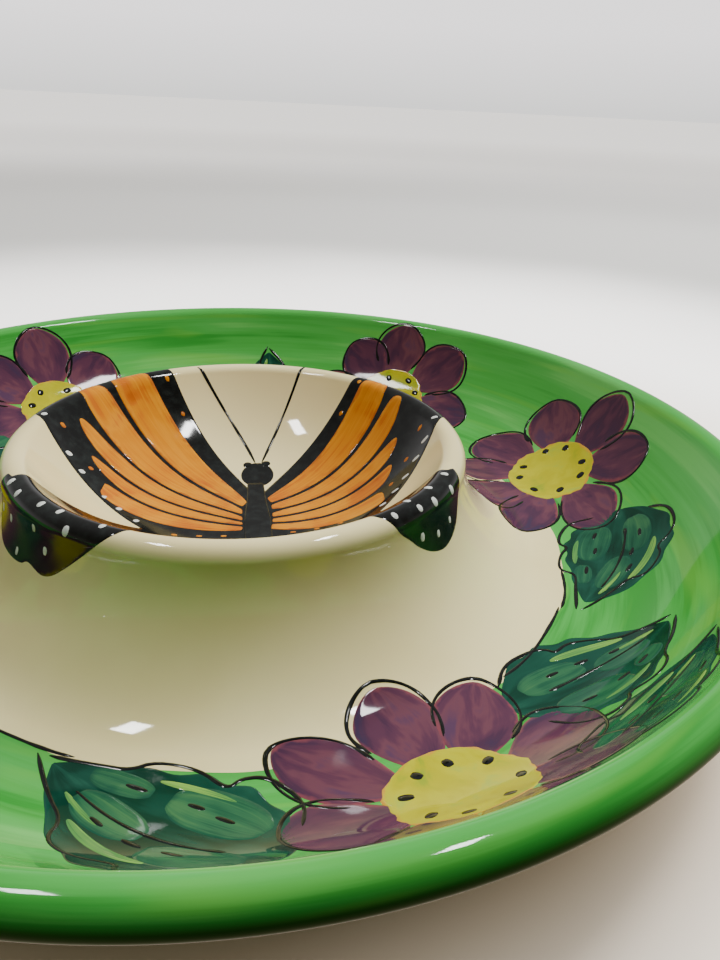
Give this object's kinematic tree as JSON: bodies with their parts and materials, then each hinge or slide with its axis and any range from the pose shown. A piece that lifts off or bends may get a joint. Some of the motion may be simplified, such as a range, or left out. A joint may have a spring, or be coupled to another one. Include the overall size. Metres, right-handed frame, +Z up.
{
  "type": "chip and dip server",
  "caption": "Round ceramic chip and dip server: a wide tray with a rolled rim around a raised dip bowl, hand-painted with a butterfly and flowers.",
  "frame": {"origin": "centre of the foot ring's resting face", "axes": "+Z up; the painted butterfly's head points to +Y, its wings spread along X"},
  "size_m": [0.38, 0.38, 0.0564],
  "materials": {
    "clay": "fired earthenware, matt, bare where the foot rests",
    "green_glaze": "brushed grass-green underglaze under a clear gloss glaze",
    "cream_glaze": "warm cream, clear gloss glaze",
    "petal_paint": "brushed plum-purple underglaze, clear gloss glaze",
    "centre_paint": "brushed yellow underglaze, clear gloss glaze",
    "leaf_paint": "dark blue-green underglaze with paler strokes, clear gloss glaze",
    "orange_paint": "brushed orange underglaze, clear gloss glaze",
    "white_paint": "white underglaze dots, clear gloss glaze",
    "black_paint": "black underglaze line and dots, clear gloss glaze"
  },
  "bodies": {
    "root": {"tray_floor": "clay", "tray_wall": "clay", "rim_roll": "clay", "skirt_upper": "clay", "skirt_lower": "clay", "bowl_floor": "clay", "bowl_wall": "clay", "foot_ring": "clay", "green_glaze": "green_glaze", "cream_glaze": "cream_glaze", "flower_1_petals": "petal_paint", "flower_2_petals": "petal_paint", "flower_3_petals": "petal_paint", "flower_4_petals": "petal_paint", "flower_5_petals": "petal_paint", "flower_6_petals": "petal_paint", "flower_1_centre": "centre_paint", "flower_2_centre": "centre_paint", "flower_3_centre": "centre_paint", "flower_4_centre": "centre_paint", "flower_5_centre": "centre_paint", "flower_6_centre": "centre_paint", "flower_1_dots": "black_paint", "flower_2_dots": "black_paint", "flower_3_dots": "black_paint", "flower_4_dots": "black_paint", "flower_5_dots": "black_paint", "flower_6_dots": "black_paint", "leaf_1": "leaf_paint", "leaf_2": "leaf_paint", "leaf_3": "leaf_paint", "leaf_4": "leaf_paint", "leaf_5": "leaf_paint", "leaf_6": "leaf_paint", "leaf_7": "leaf_paint", "leaf_8": "leaf_paint", "leaf_9": "leaf_paint", "leaf_10": "leaf_paint", "butterfly_body": "black_paint", "antennae": "black_paint", "wing_ground_left": "black_paint", "wing_ground_right": "black_paint", "wing_tip_left": "black_paint", "wing_tip_right": "black_paint", "forewing_cells_left": "orange_paint", "forewing_cells_right": "orange_paint", "hindwing_cells_left": "orange_paint", "hindwing_cells_right": "orange_paint", "tip_dots_left": "white_paint", "tip_dots_right": "white_paint", "wing_spots_white": "white_paint", "wing_spots_orange": "orange_paint"}
  },
  "joints": []
}
